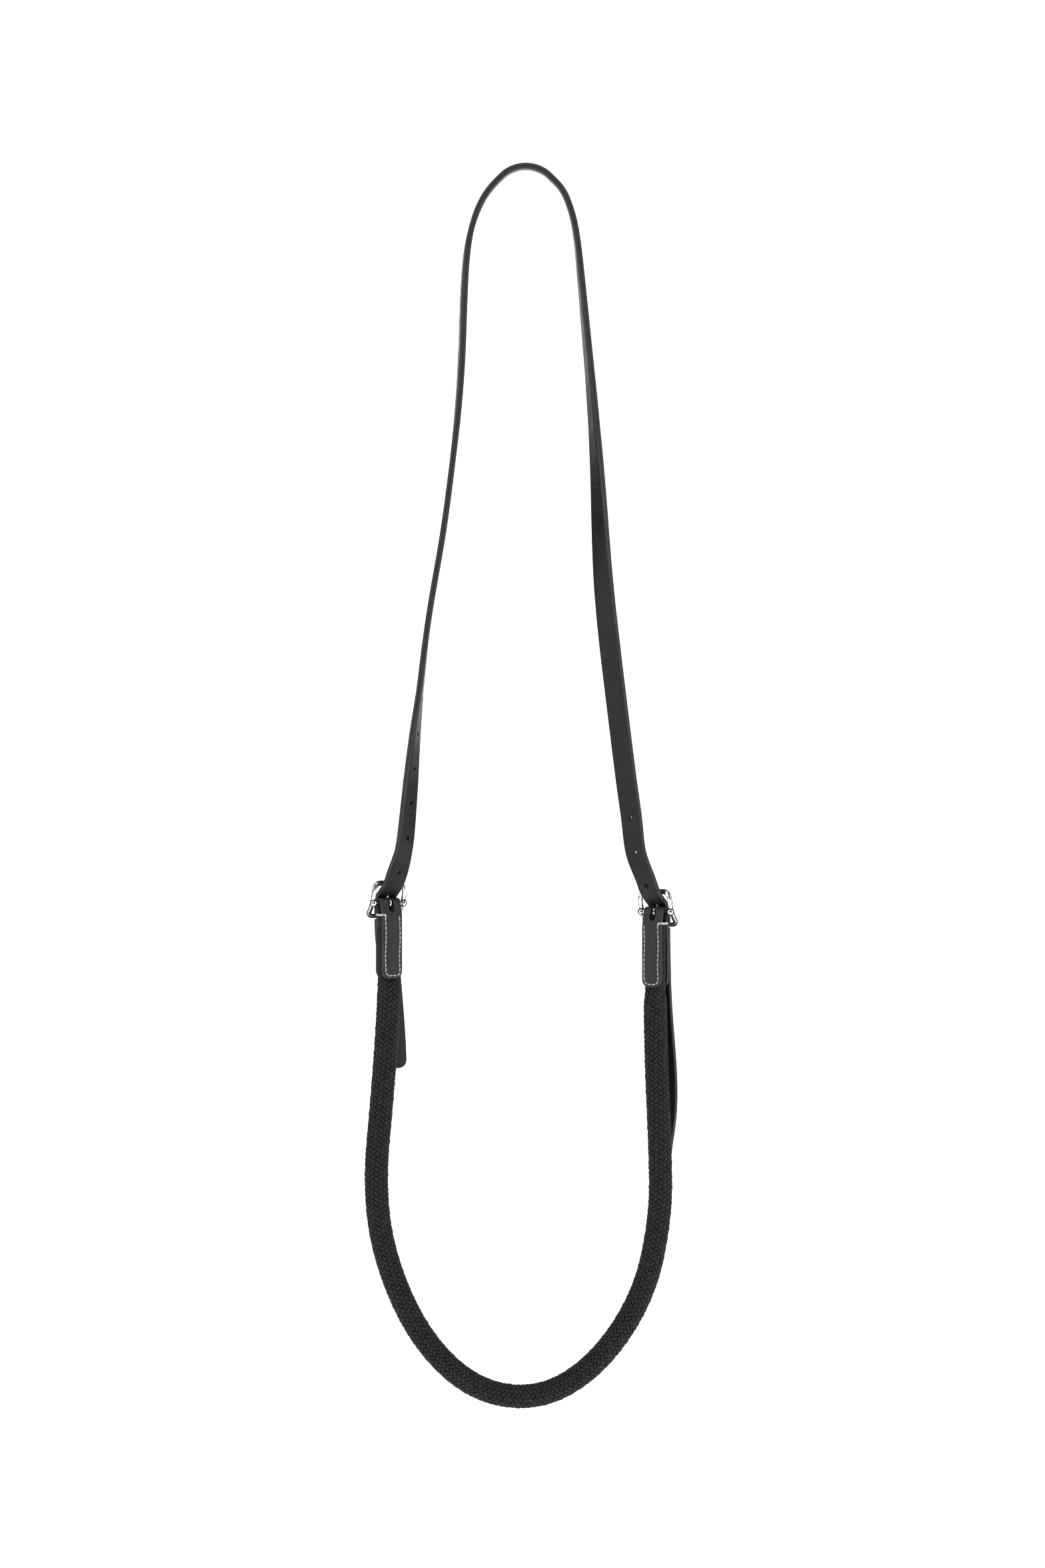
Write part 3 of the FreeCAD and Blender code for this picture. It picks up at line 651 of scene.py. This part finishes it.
def seam_dent(u, a, b, length):
    """How far the leather is pulled in along its seam on both legs, less its swell between the two rows."""
    half = CHAPE_WIDTH / 2 - SEAM_INSET
    radius = CHAPE_CORNER - SEAM_INSET
    from_tip = np.minimum(u, length - u)
    past_x = np.abs(a) - (half - radius)
    past_z = CHAPE_CORNER - from_tip
    outside = np.hypot(np.maximum(past_x, 0), np.maximum(past_z, 0))
    gap = outside + np.minimum(np.maximum(past_x, past_z), 0) - radius
    held = np.clip((SEAM_LENGTH - from_tip) / 2.0, 0, 1)
    pucker = 0.7 + 0.3 * np.cos(2 * math.pi * from_tip / STITCH_PITCH)
    pillow = CHAPE_PILLOW * np.clip(1 - (a / half) ** 2, 0, 1) * np.clip((from_tip - 2) / 8, 0, 1) * held
    return SEAM_DEPTH * held * pucker * np.exp(-(gap / 0.8) ** 2) - pillow


def swept(path, radius, sides, out_verts, out_faces, out_runs, taper=1.0):
    """Add a round thread along a few points to the three lists. taper is its end's share of radius."""
    path = np.asarray(path, float)
    tangent = unit(np.gradient(path, axis=0))
    helper = np.array((0.0, 0.0, 1.0)) if abs(tangent[0][2]) < 0.8 else np.array((1.0, 0.0, 0.0))
    first = len(out_verts)
    run = 0.0
    for i, (point, t) in enumerate(zip(path, tangent)):
        a = unit(np.cross(t, helper))
        b = np.cross(t, a)
        if i:
            run += float(np.linalg.norm(path[i] - path[i - 1]))
        r = radius * (1 + (taper - 1) * i / (len(path) - 1))
        if taper == 1.0 and i in (0, len(path) - 1):
            r *= 0.7
        for side_number in range(sides):
            angle = 2 * math.pi * side_number / sides
            out_verts.append(point + a * r * math.cos(angle) + b * r * math.sin(angle))
            out_runs.append((run + first * 0.37, angle, first * 0.11))
    out_faces.extend(grid_faces(len(path), sides, first))


def seam_points():
    """Where each stitch lies, seen along y, with its heading in degrees."""
    half = CHAPE_WIDTH / 2 - SEAM_INSET
    radius = CHAPE_CORNER - SEAM_INSET
    low = CHAPE_CORNER - CHAPE_LENGTH
    straight = SEAM_TOP - low
    quarter = math.pi / 2 * radius
    total = 2 * (straight + quarter + half - radius)
    count = round(total / STITCH_PITCH)
    points = []
    for number in range(count):
        run = (number + 0.5) * total / count
        mirrored = run > total / 2
        if mirrored:
            run = total - run
        if run < straight:
            x, z, heading = -half, SEAM_TOP - run, -90.0
        elif run < straight + quarter:
            angle = (run - straight) / radius
            x, z = radius * (1 - math.cos(angle)) - half, low - radius * math.sin(angle)
            heading = math.degrees(angle) - 90
        else:
            x, z, heading = run - straight - quarter + radius - half, low - radius, 0.0
        points.append((-x, z, -heading) if mirrored else (x, z, heading))
    return points


def stitches(name, side):
    """One chape's thread: a stitch at each seam point on both legs, and the bar round its edge."""
    verts, faces, runs = [], [], []
    for x, z, heading in seam_points():
        for face_y, outward in ((NEAR_FACE, -1), (FAR_FACE, 1)):
            if outward > 0 and z > FAR_SEAM_TOP:
                continue
            angle = math.radians(heading + rng.uniform(-6, 6))
            x = x + 0.25 * math.sin(z / 5.0) * (abs(heading) > 45)
            path = []
            for t in np.linspace(-0.5, 0.5, 7):
                rise = 0.12 + 0.16 * math.cos(math.pi * t) ** 0.7 - 0.5 * max(abs(t) - 0.34, 0) / 0.16 * 0.9
                path.append(from_buckle(side, x + math.cos(angle) * t * STITCH_LENGTH,
                                        face_y + outward * (rise - 0.12),
                                        z + math.sin(angle) * t * STITCH_LENGTH))
            swept(path, THREAD / 2, 8, verts, faces, runs)
    edge = side["sign"] * (CHAPE_WIDTH / 2 + 0.45)
    corner = side["sign"] * (CHAPE_WIDTH / 2 - SEAM_INSET)
    for drop in (-0.42, 0.38):
        wrap = [(corner, NEAR_FACE - 0.1, SEAM_TOP - 0.6), (corner, NEAR_FACE - 0.2, SEAM_TOP + 0.3 + drop),
                (corner + side["sign"] * 0.9, NEAR_FACE - 0.2, SEAM_TOP + 1.1 + drop),
                (edge - side["sign"] * 0.7, NEAR_FACE - 0.2, SEAM_TOP + 1.3 + drop),
                (edge, NEAR_FACE + 0.6, SEAM_TOP + 1.2 + drop), (edge, -1.2, SEAM_TOP + 1.1 + drop),
                (edge, 3.4, SEAM_TOP + 1.2 + drop)]
        line = Spline([from_buckle(side, *place) for place in wrap])
        swept(line.at(np.linspace(0, line.u[-1], 26)), THREAD / 2 * 0.95, 8, verts, faces, runs)
    return new_mesh(name, verts, faces, {"run": runs}, 60)


for name, side in SIDES.items():
    across = bar_direction(side)
    line_points = [from_buckle(side, 0.0, y, z) for y, z in chape_line()]
    chape, _ = ribbon("chape_piece_" + name, line_points, [across] * len(line_points), CHAPE_WIDTH / 2,
                      CHAPE_THICKNESS / 2, CHAPE_STEP, seam=0.0, tips=(CHAPE_CORNER, CHAPE_CORNER),
                      dent=seam_dent)
    up = np.array((0.0, 0.0, 1.0))
    forward = from_buckle(side, 0, 1, 0) - from_buckle(side, 0, 0, 0)
    cut(chape, [punch(from_buckle(side, *CHAPE_SLOT_MIDDLE), forward, CHAPE_SLOT_RADIUS, CHAPE_SLOT_REACH,
                      CHAPE_SLOT_LONG, up)])
    cover(chape, chape_material)
    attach(chape, "lower_rein")
    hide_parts("chape_" + name)
    sewing = stitches("stitches_" + name, side)
    cover(sewing, white_thread)
    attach(sewing, "lower_rein")
    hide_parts("chape_stitching_" + name)


# ---------------------------------------------------------------- rope

def rope_spline():
    """The rope's middle line, from inside one chape to inside the other."""
    left, right = SIDES["left"], SIDES["right"]
    sewn = [(ROPE_END_Y, ROPE_END_TOP), (ROPE_SEWN_Y, ROPE_SEWN_Z), (ROPE_TUBE_Y, ROPE_TUBE_TOP)]
    route = [from_buckle(left, 0, y, z) for y, z in sewn]
    route += [np.array(corner) for corner in ROPE_ROUTE]
    route += [from_buckle(right, 0, y, z) for y, z in reversed(sewn)]
    curve = bpy.data.curves.new("rope_line", "CURVE")
    curve.dimensions = "3D"
    curve.resolution_u = 24
    spline = curve.splines.new("NURBS")
    spline.points.add(len(route) - 1)
    for point, corner in zip(spline.points, route):
        point.co = (*(corner * MM).tolist(), 1.0)
    spline.order_u = 3
    spline.use_endpoint_u = True
    obj = bpy.data.objects.new("rope_line", curve)
    scene.collection.objects.link(obj)
    bpy.context.view_layer.update()
    mesh = bpy.data.meshes.new_from_object(obj)
    points = np.array([v.co for v in mesh.vertices]) / MM
    bpy.data.meshes.remove(mesh)
    bpy.data.objects.remove(obj)
    return points


def rope_frames(points, step):
    """Even places along the rope, with two directions square to it.

    The first of the two lies along the left buckle's bar at one end and the right one's at the other."""
    gap = np.linalg.norm(np.diff(points, axis=0), axis=1)
    keep = np.concatenate([[True], gap > 1e-6])
    points = points[keep]
    run = np.concatenate([[0.0], np.cumsum(np.linalg.norm(np.diff(points, axis=0), axis=1))])
    count = int(run[-1] / step) + 1
    s = np.linspace(0, run[-1], count)
    middle = np.stack([np.interp(s, run, points[:, i]) for i in range(3)], axis=1)
    tangent = unit(np.gradient(middle, axis=0))
    a = bar_direction(SIDES["left"])
    sides = []
    for t in tangent:
        a = unit(a - t * a.dot(t))
        sides.append(a)
    aim = bar_direction(SIDES["right"])
    aim = unit(aim - tangent[-1] * aim.dot(tangent[-1]))
    last = sides[-1]
    twist = math.atan2(np.dot(np.cross(last, aim), tangent[-1]), last.dot(aim))
    sides = np.array(sides)
    others = np.cross(tangent, sides)
    angle = (twist * s / s[-1])[:, None]
    turned = sides * np.cos(angle) + others * np.sin(angle)
    return s, middle, turned, np.cross(tangent, turned)


def rope_shape(s, length):
    """The section along the rope: half width, half thickness, and how square it is."""
    from_end = np.minimum(s, length - s)
    stops = [0.0, 6.0, 16.0, 46.0, 48.5, 51.5, 54.5, 58.0, 62.0, 67.0]
    half_w = np.interp(from_end, stops, [7.9, 8.3, 8.4, 8.4, 8.4, 8.4, 8.4, 8.45, 8.5, 8.5])
    half_t = np.interp(from_end, stops, [2.5, 2.9, 3.55, 3.6, 4.2, 5.3, 6.5, 7.6, 8.3, 8.5])
    power = np.interp(from_end, stops, [2.6, 2.6, 2.6, 2.6, 2.5, 2.4, 2.3, 2.2, 2.05, 2.0])
    return half_w, half_t, power


# s is how far along the rope each ring of points is. The section's two directions are side_a and side_b.
rope_points = rope_spline()
s, middle, side_a, side_b = rope_frames(rope_points, ROPE_STEP)
rope_length = float(s[-1])
half_w, half_t, power = rope_shape(s, rope_length)


def on_rope(angle, inset, index=slice(None)):
    """Points on the rope's surface at an angle round it, an inset below the outside."""
    cos, sin = np.cos(angle), np.sin(angle)
    p = power[index]
    x = np.sign(cos) * np.abs(cos) ** (2 / p) * (half_w[index] - inset)
    y = np.sign(sin) * np.abs(sin) ** (2 / p) * (half_t[index] - inset)
    return middle[index] + side_a[index] * x[..., None] + side_b[index] * y[..., None]


def strand_rings(way, number):
    """One strand's rings of points, and how high it is in the weave at each ring, from -1 to 1."""
    spacing = 2 * math.pi / STRANDS_EACH_WAY
    turns = 2 * math.pi * s / BRAID_PITCH
    angle = number * spacing + way * turns
    crossing = number + way * 2 * turns / spacing
    column = (number + crossing) / 4.0
    lift = np.clip(1.5 * np.cos(2 * math.pi * (column - 0.125)) * way, -1, 1)
    wander = 0.10 * np.sin(s / 17.0 + number * 2.3) + 0.08 * np.sin(s / 5.3 + number * 4.1 + way)
    swell = 1 + 0.10 * np.sin(s / 11.0 + number * 1.7 + way) + rng.uniform(-0.05, 0.05)
    inset = STRAND_HALF_T - STRAND_COVER + WEAVE_DROP * (1 - lift) / 2 - wander
    centre = on_rope(angle + 0.012 * np.sin(s / 7.0 + number), inset)
    outward = unit(on_rope(angle, 0.0) - on_rope(angle, 1.0))
    tangent = unit(np.gradient(centre, axis=0))
    aside = unit(np.cross(tangent, outward))
    rise = np.cross(aside, tangent)
    ring = []
    for corner in range(STRAND_SIDES):
        t = 2 * math.pi * corner / STRAND_SIDES
        ring.append(centre + aside * (STRAND_HALF_W * swell * math.cos(t))[:, None]
                    + rise * (STRAND_HALF_T * math.sin(t)))
    return np.stack(ring, axis=1), lift


def braid():
    """The two-over-two braid and the core inside it: points, faces, yarn coordinates and crests, which set
    painted shade in the gaps and make the core dark.
    """
    verts, faces, strand, crest_light = [], [], [], []
    height = np.array([math.sin(2 * math.pi * corner / STRAND_SIDES) for corner in range(STRAND_SIDES)])
    around = np.tile(np.arange(STRAND_SIDES) / STRAND_SIDES * 6.5, (len(s), 1))
    along = np.repeat((s * 1.36)[:, None], STRAND_SIDES, axis=1)
    strands = [(way, number) for way in (1, -1) for number in range(STRANDS_EACH_WAY)]
    for which, (way, number) in enumerate(strands):
        rings, lift = strand_rings(way, number)
        faces += grid_faces(len(s), STRAND_SIDES, which * len(s) * STRAND_SIDES)
        verts.append(rings.reshape(-1, 3))
        # How high each point sits in the weave and on its strand, which sets the painted shade.
        crest_light.append(((lift[:, None] * 0.5 + 0.5) * (0.45 + 0.55 * height[None, :])).ravel())
        own = np.full((len(s), STRAND_SIDES), which * 3.7)
        strand.append(np.stack([along, around, own], axis=-1).reshape(-1, 3))
    # The core sits at the bottom of the weave, so it gets full painted shade.
    core = [on_rope(np.full(len(s), 2 * math.pi * k / CORE_SIDES), CORE_INSET) for k in range(CORE_SIDES)]
    verts.append(np.stack(core, axis=1).reshape(-1, 3))
    strand.append(np.zeros((len(s) * CORE_SIDES, 3)))
    crest_light.append(np.zeros(len(s) * CORE_SIDES))
    faces += grid_faces(len(s), CORE_SIDES, len(strands) * len(s) * STRAND_SIDES)
    return np.concatenate(verts), faces, np.concatenate(strand), np.concatenate(crest_light)


def stray_fibres(verts, faces, strand, crest_light, count):
    """Short ends of yarn that stand off the braid."""
    extra_verts, extra_faces, extra_runs = [], [], []
    for _ in range(count):
        i = rng.randrange(50, len(s) - 50)
        angle = rng.uniform(0, 2 * math.pi)
        root = on_rope(np.array([angle]), 0.5, np.array([i]))[0]
        out = unit(root - middle[i])
        lean = unit(out + 0.9 * np.array([rng.uniform(-1, 1) for _ in range(3)]))
        reach = rng.uniform(0.7, 1.7)
        curl = np.array([rng.uniform(-0.4, 0.4) for _ in range(3)])
        path = [root + lean * reach * t + curl * t * t for t in (0.0, 0.4, 0.75, 1.0)]
        swept(path, FIBRE_RADIUS, 3, extra_verts, extra_faces, extra_runs, taper=0.4)
    shift = len(verts)
    faces += [tuple(v + shift for v in face) for face in extra_faces]
    return (np.concatenate([verts, np.array(extra_verts)]), faces,
            np.concatenate([strand, np.array(extra_runs)]),
            np.concatenate([crest_light, np.full(len(extra_verts), 0.8)]))


rope_verts, rope_faces, rope_strand, rope_crest_light = stray_fibres(*braid(), STRAY_FIBRES)
rope = new_mesh("rope", rope_verts, rope_faces, {"strand": rope_strand, "crest_light": rope_crest_light}, 75)
cover(rope, black_yarn)
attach(rope, "lower_rein")
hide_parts("rope_cover", "rope_core", "rope_end_left", "rope_end_right")

# ---------------------------------------------------------------- buckles

for node in ("buckle_frame_left", "buckle_frame_right", "buckle_tongue_left", "buckle_tongue_right"):
    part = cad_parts[node]
    cover(part, metal_material)

# ---------------------------------------------------------------- floor, backdrop and light

FLOOR_Z = -0.9075
WORLD_STRENGTH = 0.14


def panel(name, middle_at, size_x, size_y, rotation, material):
    """A flat stage piece, in metres."""
    mesh = bpy.data.meshes.new(name)
    x, y = size_x / 2, size_y / 2
    mesh.from_pydata([(-x, -y, 0), (x, -y, 0), (x, y, 0), (-x, y, 0)], [], [(0, 1, 2, 3)])
    obj = bpy.data.objects.new(name, mesh)
    scene.collection.objects.link(obj)
    obj.location = middle_at
    obj.rotation_euler = [math.radians(r) for r in rotation]
    obj.data.materials.append(material)
    return obj


def plain(name, colour, glow=0.0):
    """Matt paint that also glows."""
    g = Graph(name)
    return g.set(Base_Color=colour, Roughness=0.9, Emission_Color=(1, 1, 1, 1), Emission_Strength=glow)


def soft_light(name, location, target, size_x, size_y, power):
    """An area light that faces target, in metres and watts."""
    data = bpy.data.lights.new(name, "AREA")
    data.shape = "RECTANGLE"
    data.size, data.size_y, data.energy = size_x, size_y, power
    obj = bpy.data.objects.new(name, data)
    scene.collection.objects.link(obj)
    obj.location = location
    obj.rotation_euler = (Vector(target) - Vector(location)).to_track_quat("-Z", "Y").to_euler()
    return obj


panel("floor", (0, 0.4, FLOOR_Z), 4.0, 3.8, (0, 0, 0), plain("floor_paint", (0.9, 0.9, 0.9, 1), 0.7))
panel("backdrop", (0, 2.2, 0.4), 3.0, 2.62, (90, 0, 0), plain("backdrop_paint", (0.9, 0.9, 0.9, 1), 1.05))

MIDDLE = (0, 0, -0.45)
soft_light("key_left", (-1.7, -0.9, 0.2), MIDDLE, 0.5, 1.7, 19)
soft_light("key_right", (1.7, -0.5, 0.0), MIDDLE, 0.5, 1.7, 19)
soft_light("top", (-0.3, -1.2, 1.6), MIDDLE, 0.9, 0.6, 16)

world = bpy.data.worlds.new("studio")
scene.world = world
world.use_nodes = True
world.node_tree.nodes["Background"].inputs[0].default_value = (1, 1, 1, 1)
world.node_tree.nodes["Background"].inputs[1].default_value = WORLD_STRENGTH
scene.view_settings.view_transform = "Standard"
scene.view_settings.look = "None"
